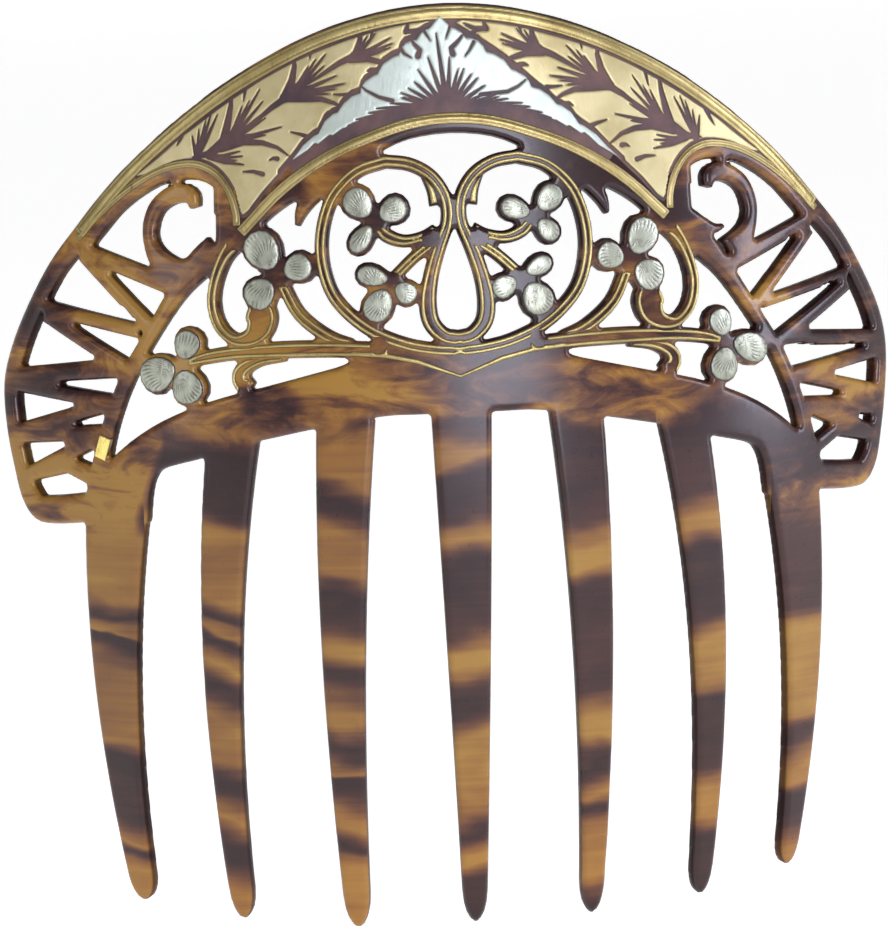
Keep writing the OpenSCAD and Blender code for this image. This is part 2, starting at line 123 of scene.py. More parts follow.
def grid_round(triangles, step, margin=1.5):
    """An even grid round some flat triangles."""
    low, high = triangles.min((0, 1)) - margin, triangles.max((0, 1)) + margin
    return Grid(np.arange(low[0], high[0], step), np.arange(low[1], high[1], step))


def holds(triangle, x, y):
    """Which points lie in a triangle whose corners run anticlockwise."""
    inside = np.ones(x.shape, bool)
    for a, b in zip(triangle, np.roll(triangle, -1, 0)):
        inside &= (b[0] - a[0]) * (y - a[1]) - (b[1] - a[1]) * (x - a[0]) > -1e-4
    return inside


def outline_of(triangles, longest=0.4):
    """The outline of overlapping triangles, as short segments [count, 2, 2]."""
    edges = np.stack([triangles, np.roll(triangles, -1, 1)], 2).reshape(-1, 2, 2)
    keys = {}
    for k, edge in enumerate(np.round(edges * 1000).astype(int)):
        keys.setdefault(tuple(sorted(map(tuple, edge))), []).append(k)
    free = edges[[found[0] for found in keys.values() if len(found) == 1]]
    pieces = []
    for a, b in free:
        count = max(1, math.ceil(np.hypot(*(b - a)) / longest))
        share = np.linspace(0, 1, count + 1)[:, None]
        points = a + share * (b - a)
        pieces.append(np.stack([points[:-1], points[1:]], 1))
    pieces = np.concatenate(pieces)
    along = pieces[:, 1] - pieces[:, 0]
    outward = np.stack([along[:, 1], -along[:, 0]], 1) / np.hypot(*along.T)[:, None]
    x, y = (pieces.mean(1) + 0.02 * outward).T
    covered = np.zeros(len(x), bool)
    for triangle in triangles:
        low, high = triangle.min(0), triangle.max(0)
        near = np.nonzero((x > low[0]) & (x < high[0]) & (y > low[1]) & (y < high[1]))[0]
        covered[near] |= holds(triangle, x[near], y[near])
    return pieces[~covered]


def distance_to(segments, grid, reach):
    """Distance from each grid point to the nearest segment, up to reach."""
    nearest = np.full(grid.s.shape, float(reach))
    for a, b in segments:
        window = grid.window(np.minimum(a, b), np.maximum(a, b), reach)
        x, y = grid.s[window] - a[0], grid.z[window] - a[1]
        along = b - a
        share = np.clip((x * along[0] + y * along[1]) / (along @ along + 1e-12), 0, 1)
        gap = np.hypot(x - share * along[0], y - share * along[1])
        np.minimum(nearest[window], gap, out=nearest[window])
    return nearest


def signed_distance(triangles, grid, reach=2.5):
    """Distance to the outline of some flat triangles, negative inside them."""
    inside = np.zeros(grid.s.shape, bool)
    for triangle in triangles:
        window = grid.window(triangle.min(0), triangle.max(0), 0.01)
        inside[window] |= holds(triangle, grid.s[window], grid.z[window])
    gap = distance_to(outline_of(triangles), grid, reach)
    return np.where(inside, -gap, gap)


def filleted(distance, grid, radius, reach=2.5):
    """Rounds the inner corners of a region, by growing it and shrinking it again."""
    grown = distance - radius
    filled = fill(grown, grid)
    points, outline = filled[0], filled[2]
    gap = distance_to(points[outline], grid, reach)
    return np.where(grown < 0, radius - gap, radius + gap)


# ---- Meshes from regions of the flat sheet ----


def fill(distance, grid, *fields):
    """Covers the region where distance is negative with triangles.

    Returns its points, its triangles, the directed segments of its outline, with the region
    on their left, and the fields' values at the points."""
    distance = np.where(np.abs(distance) < 0.01, 0.01, distance)
    index = np.arange(distance.size).reshape(distance.shape)
    a, b = index[:-1, :-1].ravel(), index[:-1, 1:].ravel()
    c, d = index[1:, 1:].ravel(), index[1:, :-1].ravel()
    one_way = (np.add(*np.indices(distance.shape))[:-1, :-1].ravel() % 2).astype(bool)
    first = np.where(one_way, (a, b, c), (a, b, d)).T
    second = np.where(one_way, (a, c, d), (b, c, d)).T
    triangles = np.concatenate([first, second])
    flat = distance.ravel()
    inside = flat[triangles] < 0
    count = inside.sum(1)

    def with_odd_first(number, wanted):
        chosen, marks = triangles[count == number], inside[count == number]
        start = np.argmax(marks == wanted, 1)
        turn = (start[:, None] + np.arange(3)) % 3
        return np.take_along_axis(chosen, turn, 1)

    lone, pair = with_odd_first(1, True), with_odd_first(2, False)
    cut = np.concatenate([lone[:, [0, 1]], lone[:, [0, 2]], pair[:, [0, 1]], pair[:, [0, 2]]])
    unique, where = np.unique(np.sort(cut, 1), axis=0, return_inverse=True)
    where = where.ravel() + distance.size
    lone_b, lone_c = where[: len(lone)], where[len(lone) : 2 * len(lone)]
    pair_b, pair_c = where[2 * len(lone) :].reshape(2, -1)
    faces = np.concatenate(
        [
            triangles[count == 3],
            np.stack([lone[:, 0], lone_b, lone_c], 1),
            np.stack([pair_b, pair[:, 1], pair[:, 2]], 1),
            np.stack([pair_b, pair[:, 2], pair_c], 1),
        ]
    )
    outline = np.concatenate([np.stack([lone_b, lone_c], 1), np.stack([pair_c, pair_b], 1)])
    share = flat[unique[:, 0]] / (flat[unique[:, 0]] - flat[unique[:, 1]])

    def at_points(values):
        values = values.ravel()
        crossing = values[unique[:, 0]] * (1 - share) + values[unique[:, 1]] * share
        return np.concatenate([values, crossing])

    used, renumbered = np.unique(faces, return_inverse=True)
    new_number = np.full(distance.size + len(unique), -1)
    new_number[used] = np.arange(len(used))
    points = np.stack([at_points(grid.s)[used], at_points(grid.z)[used]], 1)
    values = [at_points(field)[used] for field in fields]
    return (points, renumbered.reshape(-1, 3), new_number[outline], *values)


def mesh_object(name, points, faces):
    """An object from points in metres and triangles."""
    mesh = bpy.data.meshes.new(name)
    mesh.vertices.add(len(points))
    mesh.vertices.foreach_set("co", points.astype(np.float32).ravel())
    mesh.loops.add(faces.size)
    mesh.loops.foreach_set("vertex_index", faces.astype(np.int32).ravel())
    mesh.polygons.add(len(faces))
    mesh.polygons.foreach_set("loop_start", np.arange(0, faces.size, 3, dtype=np.int32))
    mesh.polygons.foreach_set("use_smooth", np.ones(len(faces), bool))
    mesh.update(calc_edges=True)
    mesh.validate()
    made = bpy.data.objects.new(name, mesh)
    bpy.context.scene.collection.objects.link(made)
    return made


def shell(name, filled, front, back, shade=None):
    """A closed solid between two heights over a filled region.

    The shade, 0 to 1 at each point, tells the material how dark the front is there: painted shade in
    grooves and along edges, and on the leaves also scratch marks."""
    points, faces, outline = filled[:3]
    count = len(points)
    blocks = [bend(points[:, 0], front, points[:, 1]), bend(points[:, 0], back, points[:, 1])]
    walls = np.concatenate(
        [
            np.stack([outline[:, 0], outline[:, 0] + count, outline[:, 1] + count], 1),
            np.stack([outline[:, 0], outline[:, 1] + count, outline[:, 1]], 1),
        ]
    )
    made = mesh_object(name, np.concatenate(blocks), np.concatenate([faces, faces[:, ::-1] + count, walls]))
    if shade is not None:
        attribute = made.data.attributes.new("shade", "FLOAT", "POINT")
        attribute.data.foreach_set("value", np.concatenate([shade, np.ones(count)]).astype(np.float32))
    return made


def simplify(made, target):
    """Brings an object's mesh down to about so many triangles."""
    if len(made.data.polygons) <= target:
        return
    modifier = made.modifiers.new("fewer", "DECIMATE")
    modifier.ratio = target / len(made.data.polygons)
    shown = made.evaluated_get(bpy.context.evaluated_depsgraph_get())
    mesh = bpy.data.meshes.new_from_object(shown)
    made.modifiers.clear()
    old, made.data = made.data, mesh
    bpy.data.meshes.remove(old)
    mesh.name = made.name


def rounded(depth, width, height):
    """How far a rounded edge lies below the face, at a depth inside the outline."""
    share = np.clip(1 - depth / width, 0, 1)
    return height * (1 - np.sqrt(1 - share**2))


def keep(made, material, slot, *nodes):
    """Finishes a piece: its material, body and the CAD nodes it stands for. The slot is not used."""
    made.data.materials.clear()
    made.data.materials.append(material)
    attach(made, "root")
    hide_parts(*nodes)


# ---- Materials ----


class Paint:
    """Builds one material's nodes."""

    def __init__(self, name):
        self.material = bpy.data.materials.new(name)
        self.material.use_nodes = True
        self.nodes, self.links = self.material.node_tree.nodes, self.material.node_tree.links
        self.shader = self.nodes["Principled BSDF"]
        self.place = self.add("ShaderNodeTexCoord").outputs["Object"]

    def add(self, kind, **settings):
        node = self.nodes.new(kind)
        for key, value in settings.items():
            setattr(node, key, value)
        return node

    def feed(self, socket, value):
        if isinstance(value, bpy.types.NodeSocket):
            self.links.new(value, socket)
        else:
            socket.default_value = value

    def set(self, **values):
        """Constant values on the shader's own sockets."""
        for key, value in values.items():
            self.shader.inputs[key.replace("_", " ")].default_value = value

    def math(self, operation, a, b=0.0, clamp=False):
        node = self.add("ShaderNodeMath", operation=operation, use_clamp=clamp)
        self.feed(node.inputs[0], a)
        self.feed(node.inputs[1], b)
        return node.outputs[0]

    def axes(self):
        return self.add_linked("ShaderNodeSeparateXYZ", self.place).outputs

    def add_linked(self, kind, source):
        node = self.add(kind)
        self.links.new(source, node.inputs[0])
        return node

    def stretched(self, scale):
        """The object's place in metres, times a scale along each axis."""
        node = self.add("ShaderNodeMapping")
        self.links.new(self.place, node.inputs["Vector"])
        node.inputs["Scale"].default_value = scale
        return node.outputs[0]

    def noise(self, scale, detail=4.0, roughness=0.55, vector=None, distortion=0.0):
        node = self.add("ShaderNodeTexNoise")
        self.links.new(vector or self.place, node.inputs["Vector"])
        node.inputs["Scale"].default_value = scale
        node.inputs["Detail"].default_value = detail
        node.inputs["Roughness"].default_value = roughness
        node.inputs["Distortion"].default_value = distortion
        return node.outputs[0]

    def ramp(self, factor, stops):
        """A ramp from (position, colour) or (position, plain level) pairs."""
        node = self.add("ShaderNodeValToRGB")
        elements = node.color_ramp.elements
        while len(elements) < len(stops):
            elements.new(1.0)
        for element, (position, colour) in zip(elements, stops):
            element.position = position
            plain = isinstance(colour, float)
            element.color = (*((colour,) * 3 if plain else linear(colour)), 1.0)
        self.feed(node.inputs[0], factor)
        return node.outputs[0]

    def mix(self, factor, a, b, blend="MIX"):
        node = self.add("ShaderNodeMix", data_type="RGBA", blend_type=blend)
        self.feed(node.inputs[0], factor)
        for socket, value in zip((node.inputs[6], node.inputs[7]), (a, b)):
            self.feed(socket, value if isinstance(value, bpy.types.NodeSocket) else (*linear(value), 1.0))
        return node.outputs[2]

    def spread(self, value, low, high):
        """Brings a value from 0..1 into low..high."""
        node = self.add("ShaderNodeMapRange")
        self.feed(node.inputs[0], value)
        node.inputs[3].default_value, node.inputs[4].default_value = low, high
        return node.outputs[0]

    def bump(self, height, strength, distance):
        node = self.add("ShaderNodeBump")
        node.inputs["Strength"].default_value = strength
        node.inputs["Distance"].default_value = distance
        self.links.new(height, node.inputs["Height"])
        self.links.new(node.outputs[0], self.shader.inputs["Normal"])


def linear(colour):
    """A colour given in 0..255 as the screen shows it, in Blender's linear values."""
    return tuple(
        (c / 255 / 12.92) if c <= 10 else ((c / 255 + 0.055) / 1.055) ** 2.4 for c in colour
    )


# ---- The pieces ----

CELLULOID = [
    "heading_bar",
    "tooth_1",
    "tooth_2",
    "tooth_3",
    "tooth_4",
    "tooth_5",
    "tooth_6",
    "tooth_7",
    "crown_plate",
]
SIDED = [
    "side_rim",
    "arch_rib",
    "lattice",
    "corner_scroll",
    "crescent",
    "ring_stem",
    "pear_stem",
    "barb",
    "outer_scroll",
    "bottom_stem",
    "spur",
    "branches",
    "leaf_pads",
]
CELLULOID += [f"{side}_{part}" for part in SIDED for side in ("left", "right")]
CELLULOID.append("right_thorn")


# Where the leaves of a trefoil or two stems meet, the sheet closes up: [across, up, radius]
SHEET_JOINTS = [
    (40.6, 8, 1.3),
    (25.4, 20.2, 1.2),
    (11.4, 27.6, 1),
    (9.3, 18.9, 1),
    (0, 8.7, 1),
    (2.6, 25.2, 0.8),
    (9.6, 35.9, 0.97),
    (57.8, -13.6, 1.6),
    (57, -11.4, 1),
    (46.6, 13.1, 0.6),
    (56.7, -9.8, 1.2),
]


# The web between the left corner scroll's foot and the arch rib
LEFT_WEB = [(-43, 21.2, 1.3), (-39, 21.9, 1.3), (-36.6, 23.6, 1.2)]


def sheet_skin():
    """The whole tortoiseshell sheet as one continuous skin with rounded edges."""
    flat = footprint(CELLULOID, -SHEET_T)
    low, high = flat.min((0, 1)) - 1.5, flat.max((0, 1)) + 1.5
    in_teeth = np.arange(low[1], -18, 0.5)
    in_crown = np.arange(in_teeth[-1] + 0.27, high[1], 0.27)
    grid = Grid(np.arange(low[0], high[0], 0.27), np.concatenate([in_teeth, in_crown]))
    distance = signed_distance(flat, grid)
    joints = [(side * a, up, r) for side in (-1, 1) for a, up, r in SHEET_JOINTS]
    distance = -cut_strokes(-distance, grid, [np.array([j, j]) for j in joints])
    distance = -cut_strokes(-distance, grid, [np.array(LEFT_WEB)])
    distance = filleted(distance, grid, 0.25)
    filled = fill(distance, grid, distance)
    depth = np.maximum(0, -filled[3])
    front = -rounded(depth, 0.95, 0.85)
    back = -SHEET_T + rounded(depth, 0.4, 0.4)
    made = shell("tortoiseshell_sheet", filled, front, back)
    simplify(made, 190000)
    return made


def band(name, node, bottom, groove_in, step=0.2):
    """A gilt band with a softly domed face and a fine groove near each edge."""
    flat = footprint([node], FOIL_T)
    grid = grid_round(flat, step)
    distance = signed_distance(flat, grid)
    filled = fill(distance, grid, distance)
    depth = np.maximum(0, -filled[3])
    dome = FOIL_T * (0.25 + 0.75 * np.sqrt(1 - np.clip(1 - depth / 0.9, 0, 1) ** 2))
    groove = 0.13 * np.exp(-(((depth - groove_in) / 0.12) ** 2))
    # Painted shade in the groove and along the band's edge
    shade = np.clip(groove / 0.13 * 0.7 + np.clip(0.8 - depth / 0.2, 0, 1), 0, 1)
    return shell(name, filled, dome - groove, np.full(len(depth), bottom), shade)


# The gilt lines stop short of the leaves and of the crown: [across, up, radius]
LINE_ENDS = [
    (40.6, 8, 1.7),
    (25.3, 20, 1.5),
    (11.3, 27.5, 1.3),
    (9.3, 19, 1.4),
    (3.4, 24.9, 1.5),
    (31.8, 25.2, 1.3),
    (11.4, 10.1, 1.2),
]


def gilt_ridges():
    """Two raised gilt lines along every stem."""
    parts = ["ring_stem", "pear_stem", "outer_scroll", "bottom_stem", "branches", "spur", "barb"]
    everything = footprint([f"right_{part}" for part in parts], -SHEET_T)
    everything = np.concatenate([everything, everything * (-1, 1)])
    grid = grid_round(everything, 0.15)
    apart = {}
    for part in parts:
        for side in ("left", "right"):
            apart[part, side] = signed_distance(footprint([f"{side}_{part}"], -SHEET_T), grid, 2)

    def ridges(distance):
        return np.abs(distance + 0.6) - 0.27

    # Above, the ring runs on into the pear; below, each one runs on into its other half
    above, below = [], []
    for side in ("left", "right"):
        both = np.minimum(apart["ring_stem", side], apart["pear_stem", side])
        above.append(filleted(both, grid, 0.5))
    for part in ("ring_stem", "pear_stem"):
        both = np.minimum(apart[part, "left"], apart[part, "right"])
        below.append(filleted(both, grid, 0.5))
    below[0] = np.maximum(below[0], -below[1] - 0.4)
    gilt = np.where(grid.z > 20, ridges(above[0]), ridges(below[0]))
    gilt = np.minimum(gilt, np.where(grid.z > 20, ridges(above[1]), ridges(below[1])))
    taken = np.minimum.reduce([*above, *below])
    for part in parts[2:]:
        both = np.minimum(apart[part, "left"], apart[part, "right"])
        gilt = np.minimum(gilt, np.maximum(ridges(both), -0.1 - taken))
        taken = np.minimum(taken, both)
    # The lines meet in a point on the heading bar, and stop short of the scrolls' balls
    point = [
        np.array([(side * 15, 9, 0.34), (side * 10.5, 8.6, 0.34), (side * 6, 7.6, 0.34), (0, 5.3, 0.22)])
        for side in (-1, 1)
    ]
    gilt = -cut_strokes(-gilt, grid, point)
    balls = [np.array([(side * 28.3, 14.6, 2.1), (side * 28.2, 16.5, 1.8)]) for side in (-1, 1)]
    balls += [np.array([(side * 30.4, 4, 1.6), (side * 30.6, 4.2, 1.6)]) for side in (-1, 1)]
    balls += [np.array([(side * a, up, r)] * 2) for side in (-1, 1) for a, up, r in LINE_ENDS]
    gilt = cut_strokes(gilt, grid, balls)
    filled = fill(gilt, grid, gilt)
    depth = np.maximum(0, -filled[3])
    top = -0.02 + 0.3 * np.sqrt(np.clip(1 - (1 - depth / 0.27) ** 2, 0, 1))
    # Painted shade along the edges of the gilt lines
    shade = np.clip(0.8 - depth / 0.16, 0, 1)
    return shell("gilt_stem_lines", filled, top, np.full(len(depth), -0.4), shade)


def stroke(points, width, tip=0.05):
    """Discs along a tapered engraved line, [across, up, radius]; widest at its start."""
    points = np.array(points, float)
    steps = np.linspace(0, len(points) - 1, 12 * (len(points) - 1) + 1)
    across = np.interp(steps, range(len(points)), points[:, 0])
    up = np.interp(steps, range(len(points)), points[:, 1])
    share = steps / steps[-1]
    radius = tip + (width / 2 - tip) * (1 - share) ** 0.8
    return np.stack([across, up, radius], 1)


def cut_strokes(distance, grid, strokes):
    """Takes engraved strokes out of a region."""
    distance = distance.copy()
    for discs in strokes:
        for (ax, az, ar), (bx, bz, br) in zip(discs, discs[1:]):
            low, high = (min(ax, bx), min(az, bz)), (max(ax, bx), max(az, bz))
            window = grid.window(low, high, 1.2)
            x, y = grid.s[window] - ax, grid.z[window] - az
            dx, dy = bx - ax, bz - az
            share = np.clip((x * dx + y * dy) / (dx * dx + dy * dy + 1e-9), 0, 1)
            inside = ar + share * (br - ar) - np.hypot(x - share * dx, y - share * dy)
            distance[window] = np.maximum(distance[window], inside)
    return distance


# Engraving of the gold foliage, for the right half: [across, up] points in millimetres.
# Each branch is [points, width at its start]; each fan is [base, width, tips].
GOLD_BRANCHES = [
    [[(13.2, 51), (12.8, 52.6), (12.5, 54.8)], 1.3],
    [[(14.2, 50.4), (11.6, 50.3), (9.4, 49.7), (8.6, 49.2)], 1.1],
    [[(13.8, 50.7), (15.8, 49.9), (18.2, 48.5), (21, 46.8)], 0.9],
    [[(24, 45.2), (22.9, 47.6), (22.5, 49.7), (22.8, 52)], 1.3],
    [[(24.2, 45.2), (21.4, 45), (18.6, 44.9), (16.8, 44.3), (15.2, 43.4)], 1.1],
    [[(24.2, 45), (26, 43.9), (28, 42.3), (31, 40.2)], 0.9],
    [[(33.4, 38.8), (32.7, 41.6), (32.2, 44.2), (32, 47)], 1.4],
    [[(33.6, 38.4), (30.2, 39.2), (27.4, 39), (25.2, 38.3), (23.4, 37)], 1.1],
    [[(33.4, 39), (35.6, 37.6), (38.2, 37.2)], 1.6],
    [[(5.9, 54), (5.7, 54.7), (5.5, 55.6)], 0.7],
    [[(3.6, 53.3), (4.6, 53.9), (6.2, 53.8)], 0.6],
    [[(19.8, 53.2), (20, 52.1), (20.2, 50.6)], 0.7],
    [[(29.6, 48.2), (29.9, 46.8), (30.2, 45)], 0.7],
    [[(39.4, 41.2), (40, 39.9), (40.6, 38.9)], 0.7],
    [[(10.7, 55), (10.9, 54), (11.2, 53.2)], 0.5],
    [[(14.4, 45.4), (15.4, 45.4), (16.8, 45.5)], 0.5],
    [[(20.6, 39.6), (21.6, 40), (23.2, 40.4)], 0.6],
    [[(27.4, 34.6), (28.8, 35), (30.4, 35)], 0.6],
    [[(10.4, 48.6), (11.2, 48.8), (11.8, 48.6)], 0.7],
    [[(17, 42.9), (17.6, 43), (18.2, 42.6)], 0.6],
    [[(25.2, 36.7), (25.8, 36.8), (26.4, 36.5)], 0.6],
]
GOLD_FANS = [
    [(13.6, 50.8), 0.75, [(8.2, 53.2), (7.9, 52.4), (8.3, 51.8), (9.8, 51.2), (10.4, 53.9), (11.6, 53.6)]],
    [
        (22.8, 46),
        0.8,
        [
            (17.8, 51.2), (18, 49.6), (19.3, 50.5), (16.3, 48.1), (15, 47), (16.3, 46.3),
            (17.3, 45.6), (20.4, 49.6),
        ],
    ],
    [
        (32.4, 39.6),
        0.8,
        [
            (27.7, 46.6), (29.3, 45), (27.3, 44.8), (26.9, 43.4), (26.9, 42.5), (24.4, 41.2),
            (26.2, 40.8), (26.9, 40.1), (30.4, 44.3),
        ],
    ],
    [(37.4, 37.2), 0.8, [(34.2, 43.2), (35.2, 43.3), (36, 42.6), (37.1, 41.2), (38.2, 40.3)]],
    [(35.6, 37.2), 0.7, [(30.8, 37.9), (30.4, 37.2), (31.2, 36.6), (30.2, 36)]],
    [(5.6, 54), 0.5, [(2.6, 54.9), (2.9, 54.5), (3.6, 54.1)]],
]
# Dark roots of the fans: [across, up, radius]
GOLD_ROOTS = [
    (13.6, 50.8, 0.6),
    (22.6, 46.3, 0.9),
    (23.6, 45.4, 0.5),
    (21.2, 46.3, 0.5),
    (32.4, 39.7, 1),
    (31.3, 40, 0.7),
    (33.8, 38.6, 0.7),
    (35.4, 37.5, 0.7),
    (37.2, 37.4, 0.6),
]
# Engraving of the silver palmette, both halves
SILVER_BASE = (-0.3, 43)
SILVER_TIPS = [
    (-1.5, 53.6), (-2.9, 50.4), (-4.4, 48.6), (-5, 46.9), (-5.9, 46), (-7, 45.4), (-6.7, 44.8),
    (-7.5, 43.9), (0.3, 50.2), (1.5, 48.5), (2.3, 48.4), (3.4, 47.7), (4.3, 47.1), (5.3, 46),
    (5.2, 44.8), (7.2, 44.3), (7.8, 43.4),
]
SILVER_LINES = [
    [[(-8.2, 44.3), (-10.2, 44.9), (-12, 45.9), (-13.2, 46.9)], 0.5],
    [[(4.6, 44.7), (8.6, 45), (10.2, 45.7), (11.4, 46.6)], 0.5],
    [[(-4.3, 50.5), (-4, 51.3), (-4.8, 52.2), (-5.5, 53.4)], 0.8],
    [[(0.8, 50.6), (0.6, 51.4), (1.6, 52.3), (2.6, 53.4)], 0.8],
    [[(-3.7, 55.4), (-3.2, 53.9), (-2.4, 52.6)], 0.5],
    [[(0.9, 55.4), (0.4, 54), (-0.1, 52.8)], 0.4],
    [[(-6.9, 51.8), (-6.3, 50.9), (-5.3, 50.3)], 0.5],
    [[(4, 52.2), (3.4, 51.2), (2.6, 50.2)], 0.4],
]
# Lower edge of the silver, above the gilt band, and the strokes which rise from it
SILVER_FOOT = [(0, 44.3), (4, 44.1), (8, 43.3), (12, 41.9), (16, 40), (20, 38), (24, 35.6), (26, 34.2)]
SILVER_LINES += [
    [[(side * a, up - 0.3), (side * (a + 1.6), up + 0.35), (side * (a + long), up + rise)], 0.8]
    for side in (-1, 1)
    for a, up, long, rise in (
        (2.4, 43.4, 4.6, 1.3),
        (3.6, 43.2, 5, 0.8),
        (5.4, 43, 5.2, 0.3),
        (7, 42.6, 4.8, 0.1),
        (8.6, 42.1, 5, -0.3),
        (10.4, 41.5, 4.4, -0.5),
        (12, 40.9, 4.4, -0.9),
        (13.8, 40.1, 4, -1),
        (15.8, 39.2, 4, -1.2),
        (18, 38.1, 3.6, -1.3),
    )
]
# Outline of the silver's upper edge, lobe by lobe, from the apex outwards
SILVER_EDGE = [
    (0, 56.1), (0.5, 55.6), (1.6, 54.4), (2.2, 54.2), (3, 53.7), (3.7, 52.8), (4.2, 52.8),
    (5.4, 52.4), (6.1, 51.6), (6.4, 50.8), (7.4, 50.5), (8.9, 49.6), (9.8, 48.2), (10.4, 48),
    (11.7, 47.2), (12.3, 46.4), (12.5, 45.6), (13.8, 45.2), (15, 44.3), (16, 43), (16.7, 42.8),
    (18, 41.8), (19, 40.1), (19.7, 39.8), (21.4, 38.5), (23, 36.6), (25.4, 34.2),
]


def silver_region(grid):
    """Signed distance of the silver panel before it is engraved."""
    edge = np.array(SILVER_EDGE)
    off_centre = np.abs(grid.s + 0.05 * (grid.z - 38))
    ceiling = np.interp(off_centre, edge[:, 0], edge[:, 1], right=30)
    edge = np.array(SILVER_FOOT)
    floor = np.interp(np.abs(grid.s + 0.3), edge[:, 0], edge[:, 1], right=60)
    return np.maximum((grid.z - ceiling) * 0.65, (floor - grid.z) * 0.9)


def fans(list_of_fans, side=1):
    """The strokes of each fan, from its root to its tips."""
    found = []
    for base, width, tips in list_of_fans:
        for tip in tips:
            middle = (base[0] * 0.55 + tip[0] * 0.45, base[1] * 0.55 + tip[1] * 0.45 - 0.25)
            line = [(side * x, y) for x, y in (base, middle, tip)]
            found.append(stroke(line, width))
    return found


def engraved_foil(name, distance, grid):
    """Foil over a region, softly rounded, with painted shade darkening it towards every cut edge."""
    filled = fill(distance, grid, distance)
    depth = np.maximum(0, -filled[3])
    top = 0.12 + 0.14 * np.sqrt(1 - np.clip(1 - depth / 0.35, 0, 1) ** 2)
    # Painted shade towards the cut edges
    shade = np.clip(0.7 - depth / 0.18, 0, 1)
    return shell(name, filled, top, np.full(len(depth), FOIL_BOTTOM), shade)


def gold_foliage(side, name, node):
    """One gold panel, with its branches and fans of strokes cut through the foil."""
    flat = footprint([node], FOIL_T)
    grid = grid_round(flat, 0.17)
    distance = signed_distance(flat, grid) - 0.1
    distance = np.maximum(distance, 0.5 - silver_region(grid))
    strokes = fans(GOLD_FANS, side)
    strokes += [stroke([(side * x, y) for x, y in line], width) for line, width in GOLD_BRANCHES]
    strokes += [
        np.array([(side * x, y, radius), (side * x + 0.01, y, radius)]) for x, y, radius in GOLD_ROOTS
    ]
    return engraved_foil(name, cut_strokes(distance, grid, strokes), grid)


def silver_palmette():
    """The silver panel, with its lobed outline and radiating strokes."""
    grid = grid_round(footprint(["silver_palmette"], FOIL_T), 0.16)
    strokes = fans([[SILVER_BASE, 0.95, SILVER_TIPS]])
    strokes += [stroke(line, width) for line, width in SILVER_LINES]
    return engraved_foil("silver_palmette_foil", cut_strokes(silver_region(grid), grid, strokes), grid)


def engraved_ground():
    """The dark ground which shows between the foil panels and in their strokes."""
    flat = footprint(["silver_palmette", "left_gold_foliage", "right_gold_foliage"], FOIL_T)
    grid = grid_round(flat, 0.3, 2)
    distance = signed_distance(flat, grid) - 0.55
    filled = fill(distance, grid)
    count = len(filled[0])
    return shell("engraved_ground", filled, np.full(count, 0.03), np.full(count, -0.3))


def trefoil(name, node):
    """The silver faces of three leaves, slightly domed and scratched along their length."""
    flat = footprint([node], FOIL_T)
    grid = grid_round(flat, 0.13, 0.8)
    distance = signed_distance(flat, grid, 3)
    filled = fill(distance, grid, distance)
    points, depth = filled[0], np.maximum(0, -filled[3])
    middle = flat.mean((0, 1))
    dome = 0.32 * np.sqrt(1 - np.clip(1 - depth / 1.4, 0, 1) ** 2)
    angle = np.arctan2(points[:, 1] - middle[1], points[:, 0] - middle[0])
    spread = np.hypot(points[:, 1] - middle[1], points[:, 0] - middle[0])
    lines = 0.5 + 0.5 * np.sin(angle * 54 + 1.3 * np.sin(spread * 1.9))
    fade = 0.55 + 0.45 * np.sin(spread * 2.3 + angle * 3)
    scratch = lines**4 * np.clip((depth - 0.2) / 0.3, 0, 1) * fade
    # The scratch lines are darkened marks; the darkening along the leaf edges is painted shade
    shade = np.clip(scratch + np.clip(1 - depth / 0.3, 0, 1), 0, 1)
    return shell(name, filled, 0.1 + dome - 0.07 * scratch, np.full(len(depth), -0.5), shade)


# ---- Materials of this comb ----


def tooth_bands(paint, x, z, wobble):
    """Dark bands across each tooth, from 0 in clear amber to 1 in dark brown.

    Each band runs from a start to an end height in millimetres, below the tooth's root."""
    bands = [
        [(-9, -15.5), (-27, -29.5), (-30.5, -35), (-50, -60.5), (-63, -66)],
        [(-2, -14), (-27, -29), (-30.5, -33.5), (-37, -42), (-52, -57.5), (-61, -68)],
        [(-10, -15), (-24, -31), (-36, -40.5), (-46, -50), (-51.5, -57), (-62, -65)],
        [(-8, -17), (-21, -33.5), (-38.5, -45), (-60, -63), (-68.5, -80)],
        [(-1, -18), (-25, -44), (-50, -54.5), (-57.5, -60.5), (-72.5, -80)],
        [(-1, -16), (-21, -34), (-42, -56), (-64.5, -80)],
        [(-10, -34), (-51, -54.5), (-59.5, -68)],
    ]
    total = None
    for k, dark in enumerate(bands):
        on = paint.math(
            "MULTIPLY",
            paint.math("GREATER_THAN", x, TOOTH_STARTS[k] * MM),
            paint.math("LESS_THAN", x, TOOTH_STARTS[k + 1] * MM),
        )
        across = paint.math("SUBTRACT", x, TOOTH_MIDDLES[k] * MM)
        slant = paint.math("MULTIPLY", across, 0.25 if k < 3 else -0.15)
        moved = paint.math("ADD", paint.math("ADD", z, wobble), slant)
        depth = paint.math("MULTIPLY", moved, -1 / (TOOTH_LENGTH * MM), clamp=True)
        stops = [(0.0, 0.05)]
        for start, end in dark:
            top, bottom = -start / TOOTH_LENGTH, min(0.99, -end / TOOTH_LENGTH)
            fade = min(0.03, 0.4 * (bottom - top))
            for place, level in (
                (top - 0.022, 0.05),
                (top + 0.016, 0.95),
                (bottom - fade, 0.8),
                (bottom, 0.36),
                (bottom + 0.022, 0.06),
            ):
                stops.append((max(stops[-1][0] + 0.001, place), level))
        levels = [(min(1.0, place), level) for place, level in stops]
        shade = paint.math("MULTIPLY", paint.ramp(depth, levels), on)
        total = shade if total is None else paint.math("ADD", total, shade)
    return total


